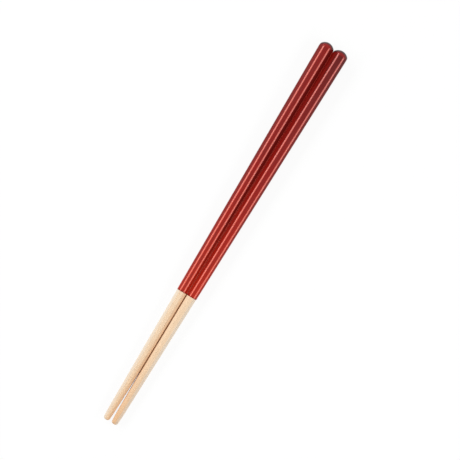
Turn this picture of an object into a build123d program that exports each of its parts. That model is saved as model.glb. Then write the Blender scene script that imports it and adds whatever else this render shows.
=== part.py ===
"""A pair of chopsticks lying side by side: octagonal wood, coated over the handle, bare towards the tips.

Each stick is one piece of wood. Eight flats are planed on a square blank so that it tapers evenly, and
the long edges between them are rounded. The butt is turned to a dome, and the tip to a round, blunt
cone, so that the flats run out at both ends. A thin coat covers the handle. It stands a little proud
of the bare wood and ends in a small square step.

Sizes are in millimetres. X runs from the tips to the butts, Y across the pair and Z up. The table is
Z = 0 and the plane where the two sticks touch is Y = 0, so the origin is the middle of the pair's
footprint. The coated handles lie flat on the table and flat against each other.
"""

from build123d import *

import os
from math import cos, hypot, radians, sin, sqrt

# Along the stick.
stick_length = 225.0  # from the top of the dome to the end of the tip
tip_cone_length = 30.0  # the last stretch, which is round
coat_length = 148.5  # how much of the handle is coated, from the top of the dome

# Across the bare wood.
butt_width = 8.05  # across the flats, where their taper runs out to at the top of the dome
neck_width = 4.78  # across the flats, where the tip's cone starts to cut them
tip_width = 3.65  # across the cone, where it runs out to at the end of the tip

coat_thickness = 0.06
long_edge_round = 1.2  # the bare wood's edges between two flats

# The two ends.
dome_overhang = 0.25  # the dome's sphere is this much larger than the circle round the long edges
dome_edge_round = 1.0  # softens the line where the flats run out into the dome
tip_end_round = 1.1  # the rim of the tip's end face
cutter_margin = 1.0  # how far the blank and the dome's cutter reach past the wood

# Each chamfer takes this share of the width off a corner of the square blank. A regular octagon has
# 0.293. These were planed by hand, so the side that faces the other stick differs from the outer one.
left_inner_chamfer, left_outer_chamfer = 0.315, 0.285
right_inner_chamfer, right_outer_chamfer = 0.33, 0.22

flat_angles = range(0, 360, 45)
butt_x = stick_length / 2
tip_x = -stick_length / 2
neck_x = tip_x + tip_cone_length
coat_edge_x = butt_x - coat_length
flat_slope = (butt_width - neck_width) / (butt_x - neck_x)
cone_slope = (neck_width - tip_width) / (neck_x - tip_x)


def centre_offset(width):
    """How far the middle of a section of that width is from the touching plane, and from the table."""
    return coat_thickness + width / 2


def flat_plane(angle, side, chamfers, added):
    """The plane of the flat that faces that angle, which is counted from +Y towards +Z."""
    out_y, out_z = cos(radians(angle)), sin(radians(angle))
    inner_chamfer, outer_chamfer = chamfers
    if angle % 90 == 0:
        share = 1 / 2
    else:
        share = (1 - (outer_chamfer if out_y * side > 0 else inner_chamfer)) / sqrt(2)
    reach = share * butt_width + added
    centre = centre_offset(butt_width)
    slope = flat_slope * (share + (side * out_y + out_z) / 2)
    return Plane(
        (butt_x, side * centre + reach * out_y, centre + reach * out_z),
        z_dir=(-slope, out_y, out_z),
    )


def along_x(centre, side):
    """The line along X through a section's middle."""
    return Axis((0, side * centre, centre), (1, 0, 0))


def upright(axis):
    """The upright plane through that line, with its own X along the line."""
    return Plane(axis.position, x_dir=(1, 0, 0), z_dir=(0, -1, 0))


def turned_envelope(side, added):
    """What the turning of the tip leaves: a blunt cone that widens on until it clears the flats."""
    tip_axis = along_x(centre_offset(neck_width), side)
    neck_radius = neck_width / 2 + added
    clear_radius = neck_radius + cone_slope * (butt_x - neck_x) / 2
    with BuildPart() as envelope:
        with BuildSketch(upright(tip_axis)) as profile:
            with BuildLine():
                Polyline(
                    (tip_x, 0),
                    (tip_x, tip_width / 2 + added),
                    (neck_x, neck_radius),
                    (neck_x, 0),
                    close=True,
                )
            make_face()
            rim = profile.vertices().group_by(Axis.X)[0].sort_by(Axis.Y)[-1]
            fillet(rim, tip_end_round)
        revolve(axis=tip_axis)
        for x, width, radius in (
            (neck_x, neck_width, neck_radius),
            (butt_x, butt_width, clear_radius),
        ):
            with BuildSketch(Plane.YZ.offset(x)):
                with Locations((side * centre_offset(width), centre_offset(width))):
                    Circle(radius)
        loft(ruled=True)
    return envelope.part


def shaped_stick(side, chamfers, start_x, added=0.0):
    """The planed stick and its turned tip, from start_x to the butt, grown by added on every side."""
    centre = centre_offset(butt_width)
    blank_width = butt_width + 2 * (added + cutter_margin)
    with BuildPart() as shaped:
        with BuildSketch(Plane.YZ.offset(start_x)):
            with Locations((side * centre, centre)):
                Rectangle(blank_width, blank_width)
        extrude(amount=butt_x - start_x)
        for angle in flat_angles:
            split(bisect_by=flat_plane(angle, side, chamfers, added), keep=Keep.BOTTOM)
        long_edges = shaped.edges().sort_by(SortBy.LENGTH)[-len(flat_angles) :]
        fillet(long_edges, long_edge_round + added)
        add(turned_envelope(side, added), mode=Mode.INTERSECT)
    return shaped.part


def off_the_seam(edge):
    """Whether an edge of the dome is on its rim. The seam of its sphere runs up to the top."""
    return edge.bounding_box().max.X < butt_x - dome_edge_round / 2


def dome_sphere_radius(chamfers):
    """The circle round the coated butt's long edges, with the dome's overhang added."""
    width = butt_width + 2 * coat_thickness
    edge_round = long_edge_round + coat_thickness
    across = width / 2 - edge_round
    along = width / 2 - min(chamfers) * width - (sqrt(2) - 1) * edge_round
    return hypot(across, along) + edge_round + dome_overhang


def make_stick(side, chamfers):
    """One stick with its coat as part of the same solid. The left one has side 1 and lies at +Y."""
    dome_radius = dome_sphere_radius(chamfers)
    dome_axis = along_x(centre_offset(butt_width), side)

    with BuildPart() as stick:
        add(shaped_stick(side, chamfers, tip_x))
        add(shaped_stick(side, chamfers, coat_edge_x, added=coat_thickness))
        with BuildSketch(upright(dome_axis)):
            with BuildLine():
                dome_line = JernArc((butt_x, 0), (0, 1), dome_radius, 90)
                Polyline(
                    dome_line @ 1,
                    (butt_x - dome_radius, dome_radius + cutter_margin),
                    (butt_x + cutter_margin, dome_radius + cutter_margin),
                    (butt_x + cutter_margin, 0),
                    (butt_x, 0),
                )
            make_face()
        revolve(axis=dome_axis, mode=Mode.SUBTRACT)
        dome_rim = stick.faces().filter_by(GeomType.SPHERE).edges().filter_by(off_the_seam)
        fillet(dome_rim, dome_edge_round)
    return stick


left_stick = make_stick(1, (left_inner_chamfer, left_outer_chamfer))
left_stick.part.label = "left_stick"
right_stick = make_stick(-1, (right_inner_chamfer, right_outer_chamfer))
right_stick.part.label = "right_stick"

os.makedirs("parts", exist_ok=True)
export_step(left_stick.part, "parts/left_stick.step")
export_step(right_stick.part, "parts/right_stick.step")
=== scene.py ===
# %% [markdown]
# # A pair of lacquered chopsticks
#
# The object is two wooden sticks that lie side by side. Each one is planed to eight flats, tapers
# towards the tip and carries a clear red lacquer over its handle. The imported model gives the frame:
# X runs from the tips to the butts, Y across the pair and Z up, all in metres.
#
# This lesson replaces the plain solids with finely divided ones that follow the same sizes, gives
# them wood and lacquer, and lights them as in a small photo studio.

# %% Load the frame
from math import pi, radians, sqrt

import bpy
from mathutils import Euler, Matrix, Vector


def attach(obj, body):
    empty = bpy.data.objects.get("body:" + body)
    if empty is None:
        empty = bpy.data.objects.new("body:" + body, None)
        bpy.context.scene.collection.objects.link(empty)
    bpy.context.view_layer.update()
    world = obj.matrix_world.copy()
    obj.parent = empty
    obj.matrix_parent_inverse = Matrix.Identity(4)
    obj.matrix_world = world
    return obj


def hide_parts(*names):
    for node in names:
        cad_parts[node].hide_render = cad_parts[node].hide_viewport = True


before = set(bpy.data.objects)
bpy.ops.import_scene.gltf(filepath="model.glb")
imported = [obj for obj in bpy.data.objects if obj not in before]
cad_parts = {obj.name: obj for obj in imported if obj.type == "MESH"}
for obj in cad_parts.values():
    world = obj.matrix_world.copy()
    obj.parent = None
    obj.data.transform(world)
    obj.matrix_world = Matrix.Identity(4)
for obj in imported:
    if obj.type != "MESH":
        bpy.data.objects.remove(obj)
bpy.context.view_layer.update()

# %% [markdown]
# ## Sizes
#
# A maker works in millimetres and Blender in metres, so the sizes are written in millimetres and
# one factor turns them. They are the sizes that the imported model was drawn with. The chamfer
# shares say how much of the width each chamfer takes off a corner of the square blank. They were
# planed by hand, so no two are quite the same.

# %% The sizes of a stick, in millimetres
MM = 0.001
STICK_LENGTH = 225.0
TIP_CONE_LENGTH = 30.0
COAT_LENGTH = 148.5
BUTT_WIDTH = 8.05
NECK_WIDTH = 4.78
TIP_WIDTH = 3.65
COAT_THICKNESS = 0.06
EDGE_ROUND = 1.2
TIP_END_ROUND = 1.1

butt_x = STICK_LENGTH / 2
tip_x = -butt_x
neck_x = tip_x + TIP_CONE_LENGTH
coat_edge_x = butt_x - COAT_LENGTH
print("coat edge at x =", coat_edge_x, "mm, neck at x =", neck_x, "mm")

# %% [markdown]
# ## One helper for every node
#
# Geometry and materials are both node trees. One small function adds a node, sets what is passed
# by name, and fills its inputs: a plain value is written on the socket, and another node or one
# of its outputs is linked to it. Most inputs are called by their names. Those of Math nodes have
# none of their own and go by number.

# %% Add a node with its settings and links


def add_node(tree, kind, inputs=None, **settings):
    """Adds a node. An input is a value, an output, or a node, which then gives its first output."""
    node = tree.nodes.new(kind)
    for name, value in settings.items():
        setattr(node, name, value)
    for key, value in (inputs or {}).items():
        if isinstance(value, bpy.types.Node):
            value = value.outputs[0]
        if isinstance(value, bpy.types.NodeSocket):
            tree.links.new(value, node.inputs[key])
        else:
            node.inputs[key].default_value = value
    return node


def open_group(name, floats, others=()):
    """Starts a geometry tree with named inputs: numbers, and others that bring their type."""
    tree = bpy.data.node_groups.new(name, "GeometryNodeTree")
    for label in floats:
        tree.interface.new_socket(label, in_out="INPUT", socket_type="NodeSocketFloat")
    for label, kind in others:
        tree.interface.new_socket(label, in_out="INPUT", socket_type=kind)
    return tree, add_node(tree, "NodeGroupInput").outputs


def span(start, end):
    """The ends of a measured range, from millimetres to the metres that the nodes see."""
    return {"From Min": start * MM, "From Max": end * MM}


print("a range from 1 to 2 mm is written as", span(1, 2))


# %% [markdown]
# ## Colour
#
# Colours are chosen as sRGB hex values, as they read off a screen. Light adds up in linear values,
# so one function turns each pair of digits before it goes into a socket. The colours of a Mix
# node share their names with its number sockets, so they go by number too.

# %% Turn a hex colour to linear


def colour(hex_value):
    """Turns an sRGB hex colour to the linear RGBA that Blender's sockets hold."""
    channels = [int(hex_value[i : i + 2], 16) / 255 for i in (1, 3, 5)]
    linear = [c / 12.92 if c <= 0.04045 else ((c + 0.055) / 1.055) ** 2.4 for c in channels]
    return (*linear, 1.0)


COLOUR_A, COLOUR_B, MIXED = 6, 7, 2  # the colour inputs and the colour output of a Mix node
print("lacquer red in linear values:", [round(c, 3) for c in colour("#a01812")])

# %% [markdown]
# ## How far each flat is from the middle
#
# The flats of an eight-sided section are counted from 0, which faces +Y. The even ones are the
# main flats, half a width from the middle. The odd ones are chamfers, and those that face +Y have
# another share than those that face -Y. A chamfer that takes a share s of the width off the
# square's corner lies (1 - s) * width / sqrt(2) from the middle. Three neighbouring flats are
# needed at every point of the surface, so this rule is a small tree of its own.

# %% The rule for one flat
FLATS = 8
EIGHTH = 2 * pi / FLATS
SQUARE_ROOT_OF_TWO = sqrt(2)

flat_rule, given = open_group(
    "distance_of_a_flat", ("Flat", "Width", "Left Chamfer", "Right Chamfer")
)
flat_rule.interface.new_socket("Distance", in_out="OUTPUT", socket_type="NodeSocketFloat")
is_chamfer = add_node(
    flat_rule, "ShaderNodeMath", {0: given["Flat"], 1: 2.0}, operation="FLOORED_MODULO"
)
flat_angle = add_node(
    flat_rule, "ShaderNodeMath", {0: given["Flat"], 1: EIGHTH}, operation="MULTIPLY"
)
across = add_node(flat_rule, "ShaderNodeMath", {0: flat_angle}, operation="COSINE")
faces_left = add_node(flat_rule, "ShaderNodeMath", {0: across, 1: 0.0}, operation="GREATER_THAN")
share = add_node(
    flat_rule,
    "ShaderNodeMix",
    {"Factor": faces_left, "A": given["Right Chamfer"], "B": given["Left Chamfer"]},
)
kept = add_node(flat_rule, "ShaderNodeMath", {0: 1.0, 1: share}, operation="SUBTRACT")
kept_width = add_node(
    flat_rule, "ShaderNodeMath", {0: kept, 1: given["Width"]}, operation="MULTIPLY"
)
chamfer_reach = add_node(
    flat_rule, "ShaderNodeMath", {0: kept_width, 1: SQUARE_ROOT_OF_TWO}, operation="DIVIDE"
)
main_reach = add_node(
    flat_rule, "ShaderNodeMath", {0: given["Width"], 1: 0.5}, operation="MULTIPLY"
)
distance = add_node(
    flat_rule, "ShaderNodeMix", {"Factor": is_chamfer, "A": main_reach, "B": chamfer_reach}
)
add_node(flat_rule, "NodeGroupOutput", {"Distance": distance})
print("the flat's rule has", len(flat_rule.nodes), "nodes")

# %% [markdown]
# ## The stick's tree: a tube that is moved into shape
#
# The shape follows a rule along its whole length, so it is made by Geometry Nodes: a plain
# cylinder gives closed rings of points, and the rule says where each point goes. Each side of a
# ring has some points on a flat and some on the rounded edge after it.
#
# The rings are not spread evenly. The two ends and the edge of the coat are small and curved and
# get many, the long tapers are straight and get few. The stretches are listed from the tip to the
# butt. At the two ends the rings draw together, as the round shape there needs.

# %% Stretches along the stick, and points around it
DOME_STRETCH = 4.6  # millimetres of the dome and the last of the flats
FILM_EDGE = 0.12  # millimetres over which the coat rises to its full thickness
QUIET = 0.3  # millimetres before and after that, where close rings keep the shading clean

FLAT_POINTS = 6
EDGE_POINTS = 10
SIDE_POINTS = FLAT_POINTS + EDGE_POINTS
RING_POINTS = FLATS * SIDE_POINTS

stretches = (
    # name, length in millimetres, rings
    ("Tip Rim", TIP_END_ROUND, 12),
    ("Tip Cone", TIP_CONE_LENGTH - TIP_END_ROUND, 64),
    ("Bare Shaft", STICK_LENGTH - TIP_CONE_LENGTH - COAT_LENGTH - QUIET, 60),
    ("Bare Before Film", QUIET, 2),
    ("Film Edge", FILM_EDGE, 5),
    ("Film After Edge", QUIET, 2),
    ("Coated Shaft", COAT_LENGTH - FILM_EDGE - QUIET - DOME_STRETCH, 80),
    ("Dome", DOME_STRETCH, 36),
)
ring_count = sum(rings for _, _, rings in stretches)
print("rings:", ring_count, "points in a ring:", RING_POINTS)
print("length of all stretches:", round(sum(length for _, length, _ in stretches), 6), "mm")

# %% Named inputs of the stick's tree
section_sizes = ["Side", "Butt Width", "Neck Width", "Tip Width", "Left Chamfer", "Right Chamfer"]
section_sizes += ["Edge Round", "Coat Thickness", "Tip End Round", "Tip Wear", "Dome Radius"]
section_sizes += ["Wander", "Seed"]
shape, sizes = open_group(
    "planed_stick",
    section_sizes + [name for name, _, _ in stretches],
    (("Bare Wood", "NodeSocketMaterial"), ("Lacquer", "NodeSocketMaterial")),
)
shape.interface.new_socket("Geometry", in_out="OUTPUT", socket_type="NodeSocketGeometry")

tube = add_node(
    shape,
    "GeometryNodeMeshCylinder",
    {"Vertices": RING_POINTS, "Side Segments": ring_count, "Radius": 1.0, "Depth": 1.0},
    fill_type="TRIANGLE_FAN",
)
place = add_node(shape, "ShaderNodeSeparateXYZ", {0: add_node(shape, "GeometryNodeInputPosition")})
print("the stick's tree has", len(sizes) - 1, "named inputs")

# %% [markdown]
# ### From the ring's number to its place along the stick
#
# The cylinder's height, from one half below to one half above, gives the number of the ring. Each
# stretch turns its own rings to a share from 0 to 1 and adds that share of its length. A power of
# two at the first stretch and at the last one draws the rings together at the very ends.

# %% The place of each ring
along = add_node(
    shape,
    "ShaderNodeMapRange",
    {
        "Value": place.outputs["Z"],
        "From Min": -0.5,
        "From Max": 0.5,
        "To Min": 0.0,
        "To Max": ring_count,
    },
)
x = tip_x * MM
first_ring = 0
for name, _, rings in stretches:
    closing_in = name == "Dome"
    passed = add_node(
        shape,
        "ShaderNodeMapRange",
        {
            "Value": along,
            "From Min": first_ring,
            "From Max": first_ring + rings,
            "To Min": 1.0 if closing_in else 0.0,
            "To Max": 0.0 if closing_in else 1.0,
        },
    )
    if name in ("Tip Rim", "Dome"):
        passed = add_node(shape, "ShaderNodeMath", {0: passed, 1: 2.0}, operation="POWER")
    if closing_in:
        passed = add_node(shape, "ShaderNodeMath", {0: 1.0, 1: passed}, operation="SUBTRACT")
    x = add_node(
        shape, "ShaderNodeMath", {0: passed, 1: sizes[name], 2: x}, operation="MULTIPLY_ADD"
    )
    first_ring += rings
print("the last stretch ends at ring", first_ring)

# %% [markdown]
# ### From the angle to the flat and the rounded edge
#
# The angle of a point in its ring, counted in points, gives the number of the flat and how far
# along its side the point is. The first part of a side runs along the flat, from one rounded edge
# to the next. The second part turns round that next edge.

# %% The flat, the way along it and the way round its edge
turn = add_node(
    shape, "ShaderNodeMath", {0: place.outputs["Y"], 1: place.outputs["X"]}, operation="ARCTAN2"
)
raw_point = add_node(
    shape, "ShaderNodeMath", {0: turn, 1: RING_POINTS / (2 * pi)}, operation="MULTIPLY"
)
near_point = add_node(shape, "ShaderNodeMath", {0: raw_point}, operation="ROUND")
point = add_node(
    shape, "ShaderNodeMath", {0: near_point, 1: RING_POINTS}, operation="FLOORED_MODULO"
)
side_share = add_node(shape, "ShaderNodeMath", {0: point, 1: SIDE_POINTS}, operation="DIVIDE")
flat = add_node(shape, "ShaderNodeMath", {0: side_share}, operation="FLOOR")
side_point = add_node(
    shape, "ShaderNodeMath", {0: point, 1: SIDE_POINTS}, operation="FLOORED_MODULO"
)
along_flat = add_node(
    shape, "ShaderNodeMapRange", {"Value": side_point, "From Min": 0.0, "From Max": FLAT_POINTS}
)
round_edge = add_node(
    shape,
    "ShaderNodeMapRange",
    {"Value": side_point, "From Min": FLAT_POINTS, "From Max": SIDE_POINTS},
)
flat_turn = add_node(shape, "ShaderNodeMath", {0: flat, 1: EIGHTH}, operation="MULTIPLY")
edge_turn = add_node(
    shape, "ShaderNodeMath", {0: round_edge, 1: EIGHTH, 2: flat_turn}, operation="MULTIPLY_ADD"
)
print("each side has", SIDE_POINTS, "points, the first", FLAT_POINTS, "on its flat")

# %% [markdown]
# ### The section at each ring
#
# The width falls evenly from the butt to the tip. A plane that is pushed by hand wanders a little,
# so a slow noise along the stick, with its own seed, makes each pair of chamfers wider here and
# narrower there. The main flats stay true, because the sticks lie on them and against each other.

# %% Width and chamfers
width = add_node(
    shape,
    "ShaderNodeMapRange",
    {
        "Value": x,
        **span(neck_x, butt_x),
        "To Min": sizes["Neck Width"],
        "To Max": sizes["Butt Width"],
    },
    clamp=False,
)
WANDER_LENGTH = 90.0  # millimetres from one wide place of a chamfer to the next
SEED_STEP = 7.3  # keeps the left chamfers' noise apart from the right ones'
chamfers = {}
for step, name in enumerate(("Left Chamfer", "Right Chamfer")):
    own_seed = add_node(
        shape, "ShaderNodeMath", {0: sizes["Seed"], 1: SEED_STEP * (step + 1)}, operation="ADD"
    )
    noise_place = add_node(
        shape,
        "ShaderNodeMath",
        {0: x, 1: 1 / (WANDER_LENGTH * MM), 2: own_seed},
        operation="MULTIPLY_ADD",
    )
    slow_noise = add_node(
        shape,
        "ShaderNodeTexNoise",
        {"W": noise_place, "Scale": 1.0, "Detail": 1.0},
        noise_dimensions="1D",
    )
    both_ways = add_node(
        shape, "ShaderNodeMath", {0: slow_noise.outputs[0], 1: 0.5}, operation="SUBTRACT"
    )
    chamfers[name] = add_node(
        shape,
        "ShaderNodeMath",
        {0: both_ways, 1: sizes["Wander"], 2: sizes[name]},
        operation="MULTIPLY_ADD",
    )
print("nodes so far:", len(shape.nodes))

# %% [markdown]
# ### A rounded section without a single corner to cut
#
# A rounded edge is an arc about a point that lies one radius inside both flats. So the flats are
# moved in by that radius, their meeting points are found, and the arc is added back outwards. In
# an octagon the point where two of these inner flats meet lies sqrt(2) * next - own along the
# flat. The coat only makes the arcs' radius larger, so it lies evenly over flats and edges.

# %% The inner flats
inner = {}
for label, step in (("before", -1.0), ("own", 0.0), ("after", 1.0)):
    number = add_node(shape, "ShaderNodeMath", {0: flat, 1: step}, operation="ADD")
    reach = add_node(
        shape,
        "GeometryNodeGroup",
        {"Flat": number, "Width": width, **chamfers},
        node_tree=flat_rule,
    )
    inner[label] = add_node(
        shape, "ShaderNodeMath", {0: reach, 1: sizes["Edge Round"]}, operation="SUBTRACT"
    )
ends = {}
for label in ("before", "after"):
    stretched = add_node(
        shape, "ShaderNodeMath", {0: inner[label], 1: SQUARE_ROOT_OF_TWO}, operation="MULTIPLY"
    )
    ends[label] = add_node(
        shape, "ShaderNodeMath", {0: stretched, 1: inner["own"]}, operation="SUBTRACT"
    )
start = add_node(shape, "ShaderNodeMath", {0: ends["before"], 1: -1.0}, operation="MULTIPLY")
sideways = add_node(shape, "ShaderNodeMix", {"Factor": along_flat, "A": start, "B": ends["after"]})
print("nodes so far:", len(shape.nodes))

# %% The coat and the arcs
coat = add_node(
    shape,
    "ShaderNodeMapRange",
    {
        "Value": x,
        **span(coat_edge_x, coat_edge_x + FILM_EDGE),
        "To Min": 0.0,
        "To Max": sizes["Coat Thickness"],
    },
    interpolation_type="SMOOTHSTEP",
)
arc_radius = add_node(shape, "ShaderNodeMath", {0: sizes["Edge Round"], 1: coat}, operation="ADD")
inner_place = add_node(shape, "ShaderNodeCombineXYZ", {"Y": inner["own"], "Z": sideways})
turned_inner = add_node(
    shape,
    "ShaderNodeVectorRotate",
    {"Vector": inner_place, "Angle": flat_turn},
    rotation_type="X_AXIS",
)
arc_place = add_node(shape, "ShaderNodeCombineXYZ", {"Y": arc_radius})
turned_arc = add_node(
    shape,
    "ShaderNodeVectorRotate",
    {"Vector": arc_place, "Angle": edge_turn},
    rotation_type="X_AXIS",
)
section = add_node(shape, "ShaderNodeVectorMath", {0: turned_inner, 1: turned_arc}, operation="ADD")
print("the coat rises from x =", coat_edge_x, "to", coat_edge_x + FILM_EDGE, "mm")

# %% [markdown]
# ### Where the sections lie
#
# The coated handle lies on the table and touches the other stick, so the middle of a section is
# half a width and one coat away from both. The tip was turned about its own straight line, so
# from the neck on the middle that the cone is measured from doesn't move any more.

# %% The middle of the section and of the cone
PRESS = 0.004  # each stick reaches this little over the seam, so that no light comes through
touching = add_node(shape, "ShaderNodeMath", {0: coat, 1: PRESS * MM}, operation="SUBTRACT")
neck_or_wider = add_node(
    shape, "ShaderNodeMath", {0: width, 1: sizes["Neck Width"]}, operation="MAXIMUM"
)
middles = {}
for label, across_flats in (("flats", width), ("round", neck_or_wider)):
    offset = add_node(
        shape,
        "ShaderNodeMath",
        {0: across_flats, 1: 0.5, 2: sizes["Coat Thickness"]},
        operation="MULTIPLY_ADD",
    )
    outwards = add_node(
        shape, "ShaderNodeMath", {0: across_flats, 1: 0.5, 2: touching}, operation="MULTIPLY_ADD"
    )
    beside = add_node(
        shape, "ShaderNodeMath", {0: outwards, 1: sizes["Side"]}, operation="MULTIPLY"
    )
    middles[label] = add_node(shape, "ShaderNodeCombineXYZ", {"Y": beside, "Z": offset})
planed = add_node(shape, "ShaderNodeVectorMath", {0: section, 1: middles["flats"]}, operation="ADD")
from_middle = add_node(
    shape, "ShaderNodeVectorMath", {0: planed, 1: middles["round"]}, operation="SUBTRACT"
)
planed_radius = add_node(shape, "ShaderNodeVectorMath", {0: from_middle}, operation="LENGTH")
print("the middle of the butt is", COAT_THICKNESS + BUTT_WIDTH / 2, "mm above the table")

# %% [markdown]
# ### The turned tip and the domed butt
#
# Sanding a stick round takes off whatever stands out beyond a round outline. So the distance of
# each point from the middle is held to the radius of that outline: a slim cone with a rounded rim
# at the tip, and a ball at the butt. A smooth minimum softens the line where a flat runs out,
# more at the butt and hardly at the tip.

# %% Outline of the tip
WEAR_LENGTH = 8.0  # over the last millimetres the sanding took off a little more
cone = add_node(
    shape,
    "ShaderNodeMapRange",
    {
        "Value": x,
        **span(tip_x, neck_x),
        "To Min": sizes["Tip Width"],
        "To Max": sizes["Neck Width"],
    },
    clamp=False,
)
cone_radius = add_node(
    shape, "ShaderNodeMath", {0: cone, 1: 0.5, 2: coat}, operation="MULTIPLY_ADD"
)
squares = []
for worn_length in (TIP_END_ROUND, WEAR_LENGTH):
    towards_end = add_node(
        shape,
        "ShaderNodeMapRange",
        {"Value": x, **span(tip_x, tip_x + worn_length), "To Min": 1.0, "To Max": 0.0},
    )
    squares.append(add_node(shape, "ShaderNodeMath", {0: towards_end, 1: 2.0}, operation="POWER"))
rim_square, wear_square = squares
rim_rest = add_node(shape, "ShaderNodeMath", {0: 1.0, 1: rim_square}, operation="SUBTRACT")
rim_height = add_node(shape, "ShaderNodeMath", {0: rim_rest}, operation="SQRT")
rim_drop = add_node(shape, "ShaderNodeMath", {0: 1.0, 1: rim_height}, operation="SUBTRACT")
rim_cut = add_node(
    shape, "ShaderNodeMath", {0: rim_drop, 1: sizes["Tip End Round"]}, operation="MULTIPLY"
)
rimmed_cone = add_node(shape, "ShaderNodeMath", {0: cone_radius, 1: rim_cut}, operation="SUBTRACT")
wear = add_node(
    shape, "ShaderNodeMath", {0: wear_square, 1: sizes["Tip Wear"]}, operation="MULTIPLY"
)
tip_outline = add_node(shape, "ShaderNodeMath", {0: rimmed_cone, 1: wear}, operation="SUBTRACT")
print("the tip is worn from x =", tip_x + WEAR_LENGTH, "to", tip_x, "mm")

# %% Outline of the dome
dome_start = add_node(
    shape, "ShaderNodeMath", {0: butt_x * MM, 1: sizes["Dome Radius"]}, operation="SUBTRACT"
)
into_dome = add_node(shape, "ShaderNodeMath", {0: x, 1: dome_start}, operation="SUBTRACT")
in_dome = add_node(shape, "ShaderNodeMath", {0: into_dome, 1: 0.0}, operation="MAXIMUM")
in_dome_square = add_node(shape, "ShaderNodeMath", {0: in_dome, 1: 2.0}, operation="POWER")
dome_square = add_node(
    shape, "ShaderNodeMath", {0: sizes["Dome Radius"], 1: 2.0}, operation="POWER"
)
dome_rest = add_node(
    shape, "ShaderNodeMath", {0: dome_square, 1: in_dome_square}, operation="SUBTRACT"
)
ball_radius = add_node(shape, "ShaderNodeMath", {0: dome_rest}, operation="SQRT")
before_dome = add_node(shape, "ShaderNodeMath", {0: in_dome, 1: into_dome}, operation="SUBTRACT")
dome_outline = add_node(shape, "ShaderNodeMath", {0: ball_radius, 1: before_dome}, operation="ADD")
print("nodes so far:", len(shape.nodes))

# %% Hold the section to both outlines
TIP_SOFTNESS = 0.08  # millimetres of difference over which the smaller one takes over
DOME_SOFTNESS = 0.7
radius = planed_radius.outputs["Value"]
for outline, softness in ((tip_outline, TIP_SOFTNESS), (dome_outline, DOME_SOFTNESS)):
    radius = add_node(
        shape, "ShaderNodeMath", {0: radius, 1: outline, 2: softness * MM}, operation="SMOOTH_MIN"
    )
held = add_node(
    shape, "ShaderNodeMath", {0: radius, 1: planed_radius.outputs["Value"]}, operation="DIVIDE"
)
print("nodes so far:", len(shape.nodes))

# %% [markdown]
# ### Put the points in place and give the faces their finish
#
# The cylinder's two middle points, where its end faces meet, have a radius of 0 and stay on the
# middle line. At the top of the dome the last ring shrinks to that point too, so points that
# coincide are merged, which leaves one closed surface. The coated faces are those beyond the
# coat's edge. How near a point is to the middle of its rounded edge, and to the shoulder where
# the flats run out into the dome, is stored with it, because the lacquer looks different there.

# %% The finished surface
SHOULDER = 2.2  # millimetres from the butt's end to where the flats run out into the dome
SHOULDER_BAND = (1.2, 0.3)  # millimetres from that line, where it starts and where it is full
ROUNDED, PLANED = 0.94, 0.99  # the share of its distance that a point keeps on a ball, on a flat
CLOSE_TO = 0.001  # points nearer to each other than this, in millimetres, become one
flat_place = add_node(
    shape, "ShaderNodeCombineXYZ", {"X": place.outputs["X"], "Y": place.outputs["Y"]}
)
on_ring = add_node(shape, "ShaderNodeVectorMath", {0: flat_place}, operation="LENGTH")
held_on_ring = add_node(
    shape, "ShaderNodeMath", {0: held, 1: on_ring.outputs["Value"]}, operation="MULTIPLY"
)
shaped = add_node(
    shape, "ShaderNodeVectorMath", {0: from_middle, "Scale": held_on_ring}, operation="SCALE"
)
lengthwise = add_node(shape, "ShaderNodeCombineXYZ", {"X": x})
with_length = add_node(shape, "ShaderNodeVectorMath", {0: shaped, 1: lengthwise}, operation="ADD")
finished_place = add_node(
    shape, "ShaderNodeVectorMath", {0: with_length, 1: middles["round"]}, operation="ADD"
)
half_turn = add_node(shape, "ShaderNodeMath", {0: round_edge, 1: pi}, operation="MULTIPLY")
edge_height = add_node(shape, "ShaderNodeMath", {0: half_turn}, operation="SINE")
wide_edge = add_node(shape, "ShaderNodeMath", {0: edge_height, 1: 0.5}, operation="POWER")
still_planed = add_node(
    shape, "ShaderNodeMapRange", {"Value": held, "From Min": ROUNDED, "From Max": PLANED}
)
long_edge_share = add_node(
    shape, "ShaderNodeMath", {0: wide_edge, 1: still_planed}, operation="MULTIPLY"
)
to_shoulder = add_node(
    shape, "ShaderNodeMath", {0: x, 1: (butt_x - SHOULDER) * MM}, operation="SUBTRACT"
)
beside_shoulder = add_node(shape, "ShaderNodeMath", {0: to_shoulder}, operation="ABSOLUTE")
shoulder_share = add_node(
    shape, "ShaderNodeMapRange", {"Value": beside_shoulder, **span(*SHOULDER_BAND)}
)
marked = tube
for name, share in (("rounded_edge", long_edge_share), ("shoulder", shoulder_share)):
    marked = add_node(
        shape,
        "GeometryNodeStoreNamedAttribute",
        {"Geometry": marked, "Name": name, "Value": share},
        data_type="FLOAT",
        domain="POINT",
    )
moved = add_node(shape, "GeometryNodeSetPosition", {"Geometry": marked, "Position": finished_place})
closed = add_node(
    shape, "GeometryNodeMergeByDistance", {"Geometry": moved, "Distance": CLOSE_TO * MM}
)
smooth = add_node(shape, "GeometryNodeSetShadeSmooth", {"Geometry": closed})
real = add_node(shape, "GeometryNodeRealizeInstances", {"Geometry": smooth})
bare = add_node(
    shape, "GeometryNodeSetMaterial", {"Geometry": real, "Material": sizes["Bare Wood"]}
)
face_place = add_node(
    shape, "ShaderNodeSeparateXYZ", {0: add_node(shape, "GeometryNodeInputPosition")}
)
is_coated = add_node(
    shape,
    "FunctionNodeCompare",
    {"A": face_place.outputs["X"], "B": coat_edge_x * MM},
    operation="GREATER_THAN",
)
coated = add_node(
    shape,
    "GeometryNodeSetMaterial",
    {"Geometry": bare, "Selection": is_coated, "Material": sizes["Lacquer"]},
)
add_node(shape, "NodeGroupOutput", {"Geometry": coated})
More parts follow.
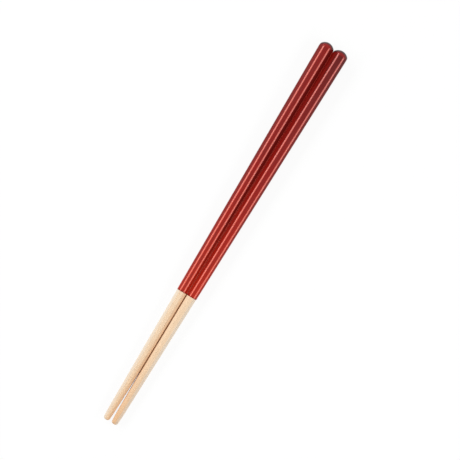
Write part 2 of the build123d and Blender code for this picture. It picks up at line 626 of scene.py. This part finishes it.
print("the stick's tree has", len(shape.nodes), "nodes")

# %% [markdown]
# ## Birch, planed and sanded
#
# The bare tips are a pale, close-grained wood such as birch: straight fibres that run along the
# stick, slow paler bands, and hardly any gloss. A noise that is drawn out along X gives both,
# each with its own real size. The fibres are about a tenth of a millimetre wide, which is too
# fine for the picture, so they are drawn three times as coarse. Each pattern ends in a share from
# 0 to 1. The colours come last, when all shares are known.

# %% Bands and fibres
BAND_CELL = (60.0, 1.6)  # millimetres along the stick and across it
FIBRE_CELL = (9.0, 0.32)
bare_wood = bpy.data.materials.new("sanded_birch")
bare_wood.use_nodes = True
wood = bare_wood.node_tree
wood.nodes.clear()
wood_place = add_node(wood, "ShaderNodeTexCoord").outputs["Object"]


def cell_scale(along_mm, across_mm):
    """The scale at which a noise has cells so long and so wide."""
    return (1 / (along_mm * MM), 1 / (across_mm * MM), 1 / (across_mm * MM))


wood_noises = []
for cell, detail, roughness in ((BAND_CELL, 3.0, 0.55), (FIBRE_CELL, 4.0, 0.6)):
    drawn_out = add_node(
        wood, "ShaderNodeMapping", {"Vector": wood_place, "Scale": cell_scale(*cell)}
    )
    noise = add_node(
        wood,
        "ShaderNodeTexNoise",
        {"Vector": drawn_out, "Scale": 1.0, "Detail": detail, "Roughness": roughness},
    )
    wood_noises.append(noise)
band, fibre = wood_noises
band_share = add_node(wood, "ShaderNodeMapRange", {"Value": band, "From Min": 0.3, "From Max": 0.7})
fibre_share = add_node(
    wood, "ShaderNodeMapRange", {"Value": fibre, "From Min": 0.35, "From Max": 0.65, "To Max": 0.3}
)
print("sanded birch so far:", len(wood.nodes), "nodes")

# %% [markdown]
# ### Two pieces of wood, and their tips
#
# Food and washing colour the tips first, so the wood gets warmer towards them. The two sticks were
# sawn from different planks, and the one at -Y took on more colour. Wood drinks in more where it
# is cut across the fibres, so the face at the very tip is the darkest.

# %% Warmer towards the tips
WARM_START = coat_edge_x - 25.0  # millimetres along X, where the warmer tone begins
END_DEPTH = 0.5  # millimetres from the very tip to where its darker tone ends
wood_axes = add_node(wood, "ShaderNodeSeparateXYZ", {0: wood_place})
towards_tip = add_node(
    wood, "ShaderNodeMapRange", {"Value": wood_axes.outputs["X"], **span(WARM_START, tip_x)}
)
second_plank = add_node(
    wood, "ShaderNodeMath", {0: wood_axes.outputs["Y"], 1: 0.0}, operation="LESS_THAN"
)
plank_warmth = add_node(
    wood, "ShaderNodeMapRange", {"Value": second_plank, "To Min": 0.45, "To Max": 0.8}
)
warmth = add_node(wood, "ShaderNodeMath", {0: towards_tip, 1: plank_warmth}, operation="MULTIPLY")
end_face = add_node(
    wood,
    "ShaderNodeMapRange",
    {"Value": wood_axes.outputs["X"], **span(tip_x + END_DEPTH, tip_x), "To Max": 0.5},
)
print("the wood gets warmer from x =", WARM_START, "to", tip_x, "mm")

# %% [markdown]
# ### Painted sheen on the outer sides, painted shade where the sticks touch
#
# The outer sides are painted paler and greyer, a painted reflection of the white floor that they
# face. The stick at +Y has a warmer, darker band of painted shade on the side that faces the other
# one, away from the stronger lamp. Where the two bare sticks lie against each other, a brown line
# of painted shade is laid on both, for the shade in the narrow groove. All of it depends on the
# distance from the plane where the sticks touch. For the outer sides, the taper is taken off first,
# so that one number fits the whole length.

# %% Across the pair
SIDE_TAPER = (NECK_WIDTH - BUTT_WIDTH) / (butt_x - neck_x)  # an outer side comes in by this a mm
# Each starts and is full at these distances from the touching plane, in millimetres.
OUTER_SHEEN = (4.4, 5.1)
INNER_SHADE = (2.3, 1.5)
GROOVE_SHADE = (0.6, 0.15)
wood_from_seam = add_node(wood, "ShaderNodeMath", {0: wood_axes.outputs["Y"]}, operation="ABSOLUTE")
wood_untapered = add_node(
    wood,
    "ShaderNodeMath",
    {0: wood_axes.outputs["X"], 1: SIDE_TAPER, 2: wood_from_seam},
    operation="MULTIPLY_ADD",
)
# painted reflection: the outer sides paler and greyer
painted_outer_sheen = add_node(
    wood, "ShaderNodeMapRange", {"Value": wood_untapered, **span(*OUTER_SHEEN), "To Max": 0.5}
)
inner_shade_reach = add_node(
    wood, "ShaderNodeMapRange", {"Value": wood_from_seam, **span(*INNER_SHADE), "To Max": 0.3}
)
first_plank = add_node(wood, "ShaderNodeMath", {0: 1.0, 1: second_plank}, operation="SUBTRACT")
# painted shade on the inner side of the stick at +Y, which faces away from the stronger lamp
painted_inner_shade = add_node(wood, "ShaderNodeMath", {0: inner_shade_reach, 1: first_plank}, operation="MULTIPLY")
# painted shade: a brown line in the groove where the sticks touch
groove_shade = add_node(
    wood, "ShaderNodeMapRange", {"Value": wood_from_seam, **span(*GROOVE_SHADE), "To Max": 0.8}
)
print("an outer side comes in by", round(-SIDE_TAPER, 4), "mm for each mm along the stick")

# %% [markdown]
# ### The colours of the wood
#
# Plain birch is the ground. Each colour is laid over those before it, by its own share.

# %% The wood's colours
wood_colour = colour("#edceac")
for share, over in (
    (band_share, "#f6dfc1"),
    (fibre_share, "#deb78a"),
    (warmth, "#e0b080"),
    (end_face, "#cf9f6b"),
    # painted reflection on the outer sides
    (painted_outer_sheen, "#e2d9cb"),
    # painted shade on the inner side of the stick at +Y
    (painted_inner_shade, "#d8a06a"),
    # painted shade in the groove between the sticks
    (groove_shade, "#9c5a20"),
):
    layer = add_node(
        wood,
        "ShaderNodeMix",
        {"Factor": share, COLOUR_A: wood_colour, COLOUR_B: colour(over)},
        data_type="RGBA",
    )
    wood_colour = layer.outputs[MIXED]
print("sanded birch so far:", len(wood.nodes), "nodes")

# %% [markdown]
# ### The feel of the wood
#
# Fine sandpaper leaves a matt face with the fibres standing up by a few hundredths of a
# millimetre. The fibre noise is used once more for that, and the roughness is that of bare wood.

# %% The wood's surface
wood_bump = add_node(
    wood, "ShaderNodeBump", {"Height": fibre, "Strength": 0.25, "Distance": 0.03 * MM}
)
wood_shader = add_node(
    wood,
    "ShaderNodeBsdfPrincipled",
    {"Base Color": wood_colour, "Normal": wood_bump, "Roughness": 0.62, "IOR": 1.5},
)
add_node(wood, "ShaderNodeOutputMaterial", {"Surface": wood_shader})
print("sanded birch:", len(wood.nodes), "nodes")

# %% [markdown]
# ## Clear red lacquer over birch
#
# The handle was dipped in a clear red lacquer. Light goes through it to the wood and back, so the
# thicker the film, the deeper the red. It is brighter towards the coat's edge and gets deeper
# towards the butt, where it gathered while the stick hung to dry. The stick at -Y was dipped once
# more, so its film goes on getting deeper up to the butt, where the other's stays even.

# %% How deep the film is
FILM_TONES = ((0.0, "#b6230c"), (0.5, "#97140c"), (1.0, "#621312"))  # depth, colour
MOST_FILM = (0.62, 1.1)  # the depth that the film stays below at +Y, and at -Y
EVENING_OUT = 0.15  # how softly it does so
lacquer_material = bpy.data.materials.new("clear_red_lacquer")
lacquer_material.use_nodes = True
lacquer = lacquer_material.node_tree
lacquer.nodes.clear()
film_place = add_node(lacquer, "ShaderNodeTexCoord").outputs["Object"]
film_axes = add_node(lacquer, "ShaderNodeSeparateXYZ", {0: film_place})
towards_butt = add_node(
    lacquer, "ShaderNodeMapRange", {"Value": film_axes.outputs["X"], **span(coat_edge_x, butt_x)}
)
dipped_again = add_node(
    lacquer, "ShaderNodeMath", {0: film_axes.outputs["Y"], 1: 0.0}, operation="LESS_THAN"
)
most_film = add_node(
    lacquer,
    "ShaderNodeMapRange",
    {"Value": dipped_again, "To Min": MOST_FILM[0], "To Max": MOST_FILM[1]},
)
film_depth = add_node(
    lacquer,
    "ShaderNodeMath",
    {0: towards_butt, 1: most_film, 2: EVENING_OUT},
    operation="SMOOTH_MIN",
)
film_tone = add_node(lacquer, "ShaderNodeValToRGB", {"Fac": film_depth})
for _ in FILM_TONES[2:]:
    film_tone.color_ramp.elements.new(0.5)
for stop, (depth, hex_value) in zip(film_tone.color_ramp.elements, FILM_TONES):
    stop.position, stop.color = depth, colour(hex_value)
print("tones of the film at", [stop.position for stop in film_tone.color_ramp.elements])

# %% [markdown]
# ### The grain under the film
#
# The grain shows through faintly, as darker lines half a millimetre wide. The wood also took the
# lacquer unevenly, which leaves soft greyish patches, some 9 mm long and 2 mm wide.

# %% Grain and patches
GRAIN_CELL = (14.0, 0.5)  # millimetres along the stick and across it
PATCH_CELL = (9.0, 2.2)
film_noises = []
for cell, detail in ((GRAIN_CELL, 4.0), (PATCH_CELL, 3.0)):
    drawn_out = add_node(
        lacquer, "ShaderNodeMapping", {"Vector": film_place, "Scale": cell_scale(*cell)}
    )
    noise = add_node(
        lacquer,
        "ShaderNodeTexNoise",
        {"Vector": drawn_out, "Scale": 1.0, "Detail": detail, "Roughness": 0.6},
    )
    film_noises.append(noise)
grain, patch = film_noises
grain_share = add_node(
    lacquer,
    "ShaderNodeMapRange",
    {"Value": grain, "From Min": 0.35, "From Max": 0.65, "To Max": 0.35},
)
patch_share = add_node(
    lacquer,
    "ShaderNodeMapRange",
    {"Value": patch, "From Min": 0.42, "From Max": 0.68, "To Max": 0.3},
)
print("lacquer so far:", len(lacquer.nodes), "nodes")

# %% [markdown]
# ### Painted shade on the sides
#
# Some sides are painted darker than the top, as painted shade where less of the lamps' light
# falls: deep on the inner side of the stick at +Y, which faces the other stick and away from the
# stronger lamp, and hardly so on the other stick's. That side faces the stronger lamp and is
# painted a clearer red towards the butt, as painted light. Both outer sides get a little painted
# shade, most at the outermost edge. Near the coat's edge the painted shade fades out. These sides
# are found as on the bare wood. Near the
# coat's edge there was too little lacquer to gather. These sides are found as on the bare wood.

# %% Painted shade on the sides
# Each starts and is full at these distances from the touching plane, in millimetres.
FACING = (2.4, 1.2)
OUTER_SIDE = (4.9, 5.6)
OUTERMOST_EDGE = (5.8, 6.2)
from_seam = add_node(lacquer, "ShaderNodeMath", {0: film_axes.outputs["Y"]}, operation="ABSOLUTE")
facing = add_node(
    lacquer, "ShaderNodeMapRange", {"Value": from_seam, **span(*FACING), "To Max": 0.62}
)
facing_share = add_node(
    lacquer, "ShaderNodeMapRange", {"Value": dipped_again, "To Min": 1.0, "To Max": 0.15}
)
inner_film_shade = add_node(
    lacquer, "ShaderNodeMath", {0: facing, 1: facing_share}, operation="MULTIPLY"
)
untapered = add_node(
    lacquer,
    "ShaderNodeMath",
    {0: film_axes.outputs["X"], 1: SIDE_TAPER, 2: from_seam},
    operation="MULTIPLY_ADD",
)
outer_side = add_node(
    lacquer, "ShaderNodeMapRange", {"Value": untapered, **span(*OUTER_SIDE), "To Max": 0.25}
)
outermost_edge = add_node(
    lacquer, "ShaderNodeMapRange", {"Value": untapered, **span(*OUTERMOST_EDGE), "To Max": 0.6}
)
outer_film_shade = add_node(
    lacquer, "ShaderNodeMath", {0: outer_side, 1: outermost_edge}, operation="MAXIMUM"
)
side_film_shade = add_node(
    lacquer, "ShaderNodeMath", {0: inner_film_shade, 1: outer_film_shade}, operation="MAXIMUM"
)
side_shade_fade = add_node(
    lacquer, "ShaderNodeMapRange", {"Value": towards_butt, "From Min": 0.0, "From Max": 0.3}
)
# painted shade on the sides, fading out near the coat's edge
painted_side_shade = add_node(
    lacquer, "ShaderNodeMath", {0: side_film_shade, 1: side_shade_fade}, operation="MULTIPLY"
)
# painted light: a clearer red on the inner side of the stick at -Y, which faces the stronger lamp
lit_facing_share = add_node(lacquer, "ShaderNodeMath", {0: facing, 1: film_depth}, operation="MULTIPLY")
painted_inner_light = add_node(
    lacquer, "ShaderNodeMath", {0: lit_facing_share, 1: dipped_again}, operation="MULTIPLY"
)
print("lacquer so far:", len(lacquer.nodes), "nodes")

# %% [markdown]
# ### Thin film and painted highlights on the long edges
#
# The rounded edges are painted a lighter red, pinker where the film is deep. Partly this is the
# thinner film, since wet lacquer draws back from an edge, and mostly it is a painted highlight of
# the two lamps. The stick's tree has stored how near each point is to the middle of its edge. On
# the outermost edge hardly any of it shows, which paints shade along the outline. The edges at the
# seam of the pair see little but each other's red, so they are painted redder, as a painted
# reflection.

# %% Lighter edges: thin film and painted highlight
# Both are distances from the touching plane, in millimetres.
FADING_OUT = (5.7, 5.95)
SEAM_EDGES = (1.0, 0.5)
edge_reading = add_node(lacquer, "ShaderNodeAttribute", attribute_name="rounded_edge")
# painted shade at the outline: the lighter edges fade out on the outermost edge
edge_highlight_strength = add_node(
    lacquer,
    "ShaderNodeMapRange",
    {"Value": untapered, **span(*FADING_OUT), "To Min": 0.85, "To Max": 0.15},
)
# thin film and painted highlight along the rounded edges
thin_film_and_highlight = add_node(
    lacquer,
    "ShaderNodeMath",
    {0: edge_reading.outputs["Fac"], 1: edge_highlight_strength},
    operation="MULTIPLY",
)
at_seam = add_node(lacquer, "ShaderNodeMapRange", {"Value": from_seam, **span(*SEAM_EDGES)})
# painted reflection: the edges at the seam are redder
seam_reflected_red = add_node(lacquer, "ShaderNodeMath", {0: at_seam, 1: film_depth}, operation="MULTIPLY")
edge_highlight_tone = colour("#fd7660")
for share, over in ((film_depth, "#e27c73"), (seam_reflected_red, "#e62a1c")):
    layer = add_node(
        lacquer,
        "ShaderNodeMix",
        {"Factor": share, COLOUR_A: edge_highlight_tone, COLOUR_B: colour(over)},
        data_type="RGBA",
    )
    edge_highlight_tone = layer.outputs[MIXED]
print("lacquer so far:", len(lacquer.nodes), "nodes")

# %% [markdown]
# ### The two ends of the dip
#
# A clear red is painted on the shoulder, where the flats run out into the dome, as a painted
# highlight. Beyond it the dome is painted nearly black below its top, as painted shade. At the
# other end the film is darker in a thin line along the coat's edge.

# %% Shoulder, dome and line
BEFORE_BUTT = (3.4, 2.2)  # millimetres from the butt's end, where the painted shade on the dome starts and is full
BELOW_TOP = (7.35, 6.7)  # the same as heights above the table
PAST_EDGE = (0.7, 0.2)  # the same for the dark line, from the coat's edge
shoulder_reading = add_node(lacquer, "ShaderNodeAttribute", attribute_name="shoulder")
# painted highlight on the shoulder
shoulder_highlight = add_node(
    lacquer, "ShaderNodeMath", {0: shoulder_reading.outputs["Fac"], 1: 0.5}, operation="MULTIPLY"
)
on_dome = add_node(
    lacquer,
    "ShaderNodeMapRange",
    {"Value": film_axes.outputs["X"], **span(butt_x - BEFORE_BUTT[0], butt_x - BEFORE_BUTT[1])},
)
below_top = add_node(
    lacquer,
    "ShaderNodeMapRange",
    {"Value": film_axes.outputs["Z"], **span(*BELOW_TOP), "To Max": 0.95},
)
# painted shade on the dome below its top
dome_shade = add_node(lacquer, "ShaderNodeMath", {0: on_dome, 1: below_top}, operation="MULTIPLY")
dip_line = add_node(
    lacquer,
    "ShaderNodeMapRange",
    {
        "Value": film_axes.outputs["X"],
        **span(coat_edge_x + PAST_EDGE[0], coat_edge_x + PAST_EDGE[1]),
        "To Max": 0.5,
    },
)
# painted shade on the dome, and a darker line along the coat's edge
dome_shade_and_edge_line = add_node(lacquer, "ShaderNodeMath", {0: dome_shade, 1: dip_line}, operation="MAXIMUM")
print("lacquer so far:", len(lacquer.nodes), "nodes")

# %% [markdown]
# ### The colours of the film
#
# The tone that the film's depth gives is the ground. The rest is laid over it as on the bare wood.

# %% The film's colours
film_colour = film_tone.outputs["Color"]
for share, over in (
    (grain_share, colour("#5e0f0c")),
    (patch_share, colour("#6c2b28")),
    # painted shade on the sides
    (painted_side_shade, colour("#3c0806")),
    # painted light on the inner side that faces the stronger lamp
    (painted_inner_light, colour("#8d150d")),
    # thin film and painted highlight on the rounded edges
    (thin_film_and_highlight, edge_highlight_tone),
    # painted highlight on the shoulder
    (shoulder_highlight, colour("#ac2122")),
    # painted shade on the dome, and the darker line along the coat's edge
    (dome_shade_and_edge_line, colour("#3a0709")),
):
    layer = add_node(
        lacquer,
        "ShaderNodeMix",
        {"Factor": share, COLOUR_A: film_colour, COLOUR_B: over},
        data_type="RGBA",
    )
    film_colour = layer.outputs[MIXED]
print("lacquer so far:", len(lacquer.nodes), "nodes")

# %% [markdown]
# ### The gloss of the film
#
# The lacquer is smooth but not polished, with very shallow waves of a few millimetres. A resin
# mirrors about 4 percent. Fine dust and years of washing have dulled this one to half of that.

# %% The lacquer's surface
WAVE_CELL = (6.0, 1.5)  # millimetres along the stick and across it
wave_place = add_node(
    lacquer, "ShaderNodeMapping", {"Vector": film_place, "Scale": cell_scale(*WAVE_CELL)}
)
wave = add_node(lacquer, "ShaderNodeTexNoise", {"Vector": wave_place, "Scale": 1.0, "Detail": 2.0})
film_bump = add_node(
    lacquer, "ShaderNodeBump", {"Height": wave, "Strength": 0.3, "Distance": 0.02 * MM}
)
film_shader = add_node(
    lacquer,
    "ShaderNodeBsdfPrincipled",
    {
        "Base Color": film_colour,
        "Normal": film_bump,
        "Roughness": 0.2,
        "IOR": 1.5,
        "Specular IOR Level": 0.24,
    },
)
add_node(lacquer, "ShaderNodeOutputMaterial", {"Surface": film_shader})
print("red lacquer:", len(lacquer.nodes), "nodes")

# %% [markdown]
# ## Make the two sticks
#
# Both sticks come from the same tree with other numbers. The modifier's inputs are set by their
# identifiers before the result is read. The result becomes a plain mesh and the modifier goes, so
# that what is left is simple geometry in its place. The left stick lies at +Y, so its outer
# chamfers face +Y, which the tree calls left.

# %% The dome's radius
DOME_OVERHANG = 0.25  # the ball is this much larger than the circle round the long edges


def dome_radius(chamfer_shares):
    """The radius of the ball that the butt was sanded to, in millimetres."""
    coated_width = BUTT_WIDTH + 2 * COAT_THICKNESS
    coated_round = EDGE_ROUND + COAT_THICKNESS
    out = coated_width / 2 - coated_round
    corner = min(chamfer_shares) * coated_width + (SQUARE_ROOT_OF_TWO - 1) * coated_round
    return sqrt(out**2 + (coated_width / 2 - corner) ** 2) + coated_round + DOME_OVERHANG


LEFT_CHAMFERS = (0.285, 0.315)  # of the stick at +Y: its outer side, then its inner side
RIGHT_CHAMFERS = (0.33, 0.22)  # of the stick at -Y: its inner side, then its outer side
for shares in (LEFT_CHAMFERS, RIGHT_CHAMFERS):
    print("chamfer shares", shares, "give a dome radius of", round(dome_radius(shares), 3), "mm")

# %% Grow, freeze and hand over each stick
WANDER = 0.06  # a chamfer's share of the width changes by up to half of this, up and down
TIP_WEAR = 0.22  # millimetres that the last sanding took off the radius at the very tip
input_ids = {
    item.name: item.identifier
    for item in shape.interface.items_tree
    if item.in_out == "INPUT"
}


def make_stick(name, side, chamfer_shares, seed):
    """One stick as a plain mesh. side is 1 for the stick at +Y and -1 for the one at -Y."""
    left_chamfer, right_chamfer = chamfer_shares
    values = {
        "Side": float(side),
        "Butt Width": BUTT_WIDTH * MM,
        "Neck Width": NECK_WIDTH * MM,
        "Tip Width": TIP_WIDTH * MM,
        "Left Chamfer": left_chamfer,
        "Right Chamfer": right_chamfer,
        "Edge Round": EDGE_ROUND * MM,
        "Coat Thickness": COAT_THICKNESS * MM,
        "Tip End Round": TIP_END_ROUND * MM,
        "Tip Wear": TIP_WEAR * MM,
        "Dome Radius": dome_radius(chamfer_shares) * MM,
        "Wander": WANDER,
        "Seed": seed,
        "Bare Wood": bare_wood,
        "Lacquer": lacquer_material,
        **{stretch: length * MM for stretch, length, _ in stretches},
    }
    blank = bpy.data.meshes.new("blank")
    grown = bpy.data.objects.new("growing_" + name, blank)
    bpy.context.scene.collection.objects.link(grown)
    modifier = grown.modifiers.new("planed_stick", "NODES")
    modifier.node_group = shape
    for label, value in values.items():
        modifier[input_ids[label]] = value
    view = bpy.context.evaluated_depsgraph_get()
    mesh = bpy.data.meshes.new_from_object(
        grown.evaluated_get(view), preserve_all_data_layers=True, depsgraph=view
    )
    bpy.data.objects.remove(grown)
    bpy.data.meshes.remove(blank)
    mesh.name = name
    stick = bpy.data.objects.new(name, mesh)
    bpy.context.scene.collection.objects.link(stick)
    return stick


LEFT_SEED, RIGHT_SEED = 2.0, 5.0
left_stick = make_stick("left_chopstick", 1, LEFT_CHAMFERS, LEFT_SEED)
right_stick = make_stick("right_chopstick", -1, RIGHT_CHAMFERS, RIGHT_SEED)
for stick, node, slot in (
    (left_stick, "left_stick", "coated_wood_left"),
    (right_stick, "right_stick", "coated_wood_right"),
):
    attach(stick, "root")
    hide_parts(node)
    corners = [Vector(corner) / MM for corner in stick.bound_box]
    low = [round(min(c[i] for c in corners), 3) for i in range(3)]
    high = [round(max(c[i] for c in corners), 3) for i in range(3)]
    print(stick.name, "from", low, "to", high, "mm; faces:", len(stick.data.polygons))

# %% [markdown]
# ## Floor
#
# The ground is white and the object hardly shades it. It is a sheet of matt paper, so large that
# its end is out of sight also from low down. For most rays it is plain white paper, which throws
# light back under the sticks. The camera, and any mirroring or clear surface, sees a darker paper
# with a light of its own instead. Both together come to white, without more light on the object,
# and the darker paper still carries a soft shadow.

# %% The white sheet
FLOOR_SIZE = 24.0  # metres
PAPER_LIGHT = 0.91  # how white the seen paper is where no lamp reaches it
half = FLOOR_SIZE / 2
floor_corners = [(-half, -half, 0.0), (half, -half, 0.0), (half, half, 0.0), (-half, half, 0.0)]
floor_mesh = bpy.data.meshes.new("floor")
floor_mesh.from_pydata(floor_corners, [], [range(len(floor_corners))])
floor = bpy.data.objects.new("floor", floor_mesh)
bpy.context.scene.collection.objects.link(floor)
white_sheet = bpy.data.materials.new("matt_white_paper")
white_sheet.use_nodes = True
sheet = white_sheet.node_tree
sheet.nodes.clear()
paper = add_node(sheet, "ShaderNodeBsdfDiffuse", {"Color": colour("#f2f2f2")})
shaded_paper = add_node(sheet, "ShaderNodeBsdfDiffuse", {"Color": colour("#565656")})
own_light = add_node(
    sheet, "ShaderNodeEmission", {"Color": colour("#ffffff"), "Strength": PAPER_LIGHT}
)
lit_paper = add_node(sheet, "ShaderNodeAddShader", {0: shaded_paper, 1: own_light})


def is_seen(tree):
    """1 for rays from the camera, mirrored rays and rays through glass, and 0 for all others."""
    ray = add_node(tree, "ShaderNodeLightPath").outputs
    largest = ray["Is Camera Ray"]
    for other in ("Is Glossy Ray", "Is Transmission Ray"):
        largest = add_node(tree, "ShaderNodeMath", {0: largest, 1: ray[other]}, operation="MAXIMUM")
    return largest


sheet_surface = add_node(sheet, "ShaderNodeMixShader", {0: is_seen(sheet), 1: paper, 2: lit_paper})
add_node(sheet, "ShaderNodeOutputMaterial", {"Surface": sheet_surface})
floor_mesh.materials.append(white_sheet)
print("floor of", FLOOR_SIZE, "m")

# %% [markdown]
# ## Light
#
# Two long soft boxes stand beside the pair, one on each side. An upper edge leans between 0 and
# 45 degrees, and a surface mirrors what stands at twice its own lean, so both lamps show as a
# bright line along the rounded edges while the flats stay dim; a painted highlight in the lacquer
# adds to these lines. They stand low, 36 degrees above the floor, which leaves the groove between
# the sticks darker, and a brown line of painted shade on the wood darkens it more. The left one
# is stronger, as in the photo. The room gives a dim even light, and the camera and mirrored rays
# see it nearly white.

# %% Two soft boxes and the room
ROOM_LIGHT, SEEN_LIGHT = 0.32, 0.85  # what lights the object, and what the camera sees
world = bpy.data.worlds.new("studio_room")
world.use_nodes = True
room = world.node_tree
room.nodes.clear()
room_light = add_node(
    room, "ShaderNodeBackground", {"Color": colour("#ffffff"), "Strength": ROOM_LIGHT}
)
backdrop = add_node(
    room, "ShaderNodeBackground", {"Color": colour("#ffffff"), "Strength": SEEN_LIGHT}
)
room_surface = add_node(room, "ShaderNodeMixShader", {0: is_seen(room), 1: room_light, 2: backdrop})
add_node(room, "ShaderNodeOutputWorld", {"Surface": room_surface})
bpy.context.scene.world = world


def soft_box(name, towards, elevation, distance, size, power):
    """A rectangular lamp that looks at the middle of the pair. Its long side runs along X."""
    lamp_data = bpy.data.lights.new(name, "AREA")
    lamp_data.shape = "RECTANGLE"
    lamp_data.size, lamp_data.size_y = size
    lamp_data.energy = power
    lamp = bpy.data.objects.new(name, lamp_data)
    bpy.context.scene.collection.objects.link(lamp)
    lean = radians(90 - elevation) * towards
    lamp.rotation_euler = Euler((-lean, 0.0, 0.0))
    lamp.location = lamp.rotation_euler.to_matrix() @ Vector((0.0, 0.0, distance))
    print(name, "at", [round(v, 3) for v in lamp.location])


BOX_SIZE = (1.3, 0.24)  # metres
BOX_DISTANCE = 0.8  # metres
BOX_ELEVATION = 36  # degrees above the floor
LEFT_POWER, RIGHT_POWER = 6.1, 4.5  # watts
soft_box("lamp_left", 1, BOX_ELEVATION, BOX_DISTANCE, BOX_SIZE, LEFT_POWER)
soft_box("lamp_right", -1, BOX_ELEVATION, BOX_DISTANCE, BOX_SIZE, RIGHT_POWER)

# %% [markdown]
# ## Camera
#
# The photo was taken from straight above with a long lens. The pair runs from the lower left to
# the upper right of the picture, at 58.86 degrees from level, and one millimetre is 1.944 pixels.
# The camera is rolled by that angle, and stands so high that its picture of 460 pixels covers
# that width. The middle of the pair is a little left of the picture's middle and below it.

# %% The camera
PICTURE_WIDTH = 460  # pixels
PIXELS_PER_MM = 1.944
PAIR_ANGLE = 58.86  # degrees from level
PAIR_MIDDLE = (222.87, 234.61)  # pixels from the picture's upper left corner
PLANE_HEIGHT = 3.3  # millimetres above the table, where the scale holds
LENS, SENSOR = 135.0, 36.0  # millimetres
FARTHEST_SEEN = 100.0  # metres, so that low views reach the floor's end

lens_data = bpy.data.cameras.new("overhead_camera")
lens_data.lens = LENS
lens_data.sensor_width = SENSOR
camera = bpy.data.objects.new("overhead_camera", lens_data)
bpy.context.scene.collection.objects.link(camera)
bpy.context.scene.camera = camera
camera.rotation_euler = Euler((0.0, 0.0, radians(-PAIR_ANGLE)))
covered = PICTURE_WIDTH / PIXELS_PER_MM
height = PLANE_HEIGHT + covered * LENS / SENSOR
right_of_middle = PICTURE_WIDTH / 2 - PAIR_MIDDLE[0]
above_middle = PAIR_MIDDLE[1] - PICTURE_WIDTH / 2
in_picture = Vector((right_of_middle, above_middle, 0.0)) / PIXELS_PER_MM
camera.location = (camera.rotation_euler.to_matrix() @ in_picture + Vector((0, 0, height))) * MM
lens_data.clip_end = FARTHEST_SEEN
bpy.context.scene.view_settings.view_transform = "Standard"
print("camera at", [round(v, 4) for v in camera.location], "m")
print("picture covers", round(covered, 1), "mm")
